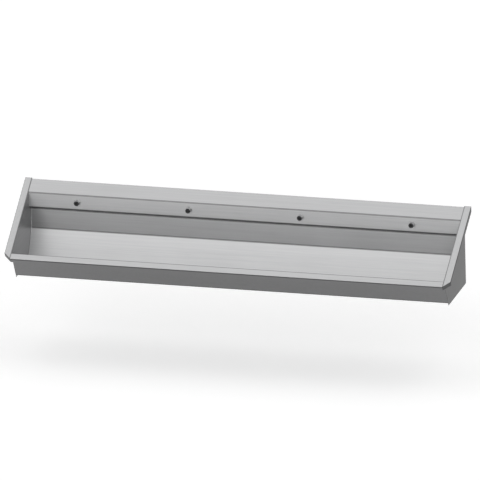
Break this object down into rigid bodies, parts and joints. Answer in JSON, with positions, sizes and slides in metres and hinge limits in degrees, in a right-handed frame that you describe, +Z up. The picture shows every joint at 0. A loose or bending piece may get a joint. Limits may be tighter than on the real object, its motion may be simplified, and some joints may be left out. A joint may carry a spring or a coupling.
{
  "type": "trough sink",
  "caption": "Long wall-hung wash trough folded from steel sheet: sloping top, V-shaped bowl, flanged end panels and short water outlets in a raised back panel.",
  "frame": {"origin": "on the wall plane, at the middle of the rectangle of wall fixing holes", "axes": "+X along the trough to its right as the user sees it, +Y into the wall, +Z up"},
  "size_m": [2.4, 0.486, 0.4645],
  "materials": {
    "stainless_brushed": "fine brushed grain along the sheet, even satin sheen",
    "stainless_plain": "mill finish",
    "stainless_polished": "turned and polished",
    "zinc_plated": "zinc plated, dull",
    "brass": "machined",
    "rubber": "matt",
    "fibre": "pressed fibre",
    "black_plastic": "fine matt moulding",
    "damping_pad": "bitumen sheet, matt"
  },
  "bodies": {
    "root": {"bowl": "stainless_brushed", "tap_panel": "stainless_brushed", "end_panel_left": "stainless_brushed", "end_panel_right": "stainless_brushed", "outlet_1": "stainless_polished", "outlet_2": "stainless_polished", "outlet_3": "stainless_polished", "outlet_4": "stainless_polished", "jet_insert_1": "black_plastic", "jet_insert_2": "black_plastic", "jet_insert_3": "black_plastic", "jet_insert_4": "black_plastic", "outlet_gasket_1": "rubber", "outlet_gasket_2": "rubber", "outlet_gasket_3": "rubber", "outlet_gasket_4": "rubber", "weld_studs": "stainless_plain", "stud_nuts": "zinc_plated", "union_nut_1": "brass", "union_nut_2": "brass", "union_nut_3": "brass", "union_nut_4": "brass", "branch_nipple_1": "brass", "branch_nipple_2": "brass", "branch_nipple_3": "brass", "branch_nipple_4": "brass", "union_washers": "fibre", "supply_pipe": "stainless_plain", "pipe_cap": "stainless_plain", "inlet_elbow": "stainless_plain", "drop_pipe": "stainless_plain", "inlet_adaptor": "brass", "wall_rail": "zinc_plated", "hook_rail": "stainless_plain", "support_bracket_1": "zinc_plated", "support_bracket_2": "zinc_plated", "support_bracket_3": "zinc_plated", "support_bracket_4": "zinc_plated", "waste_strainer": "stainless_polished", "waste_seal_upper": "rubber", "waste_seal_lower": "rubber", "waste_body": "black_plastic", "waste_screw": "stainless_polished", "earth_tag": "stainless_plain", "earth_screw": "zinc_plated", "earth_nut": "zinc_plated", "damping_pads": "damping_pad"}
  },
  "joints": []
}
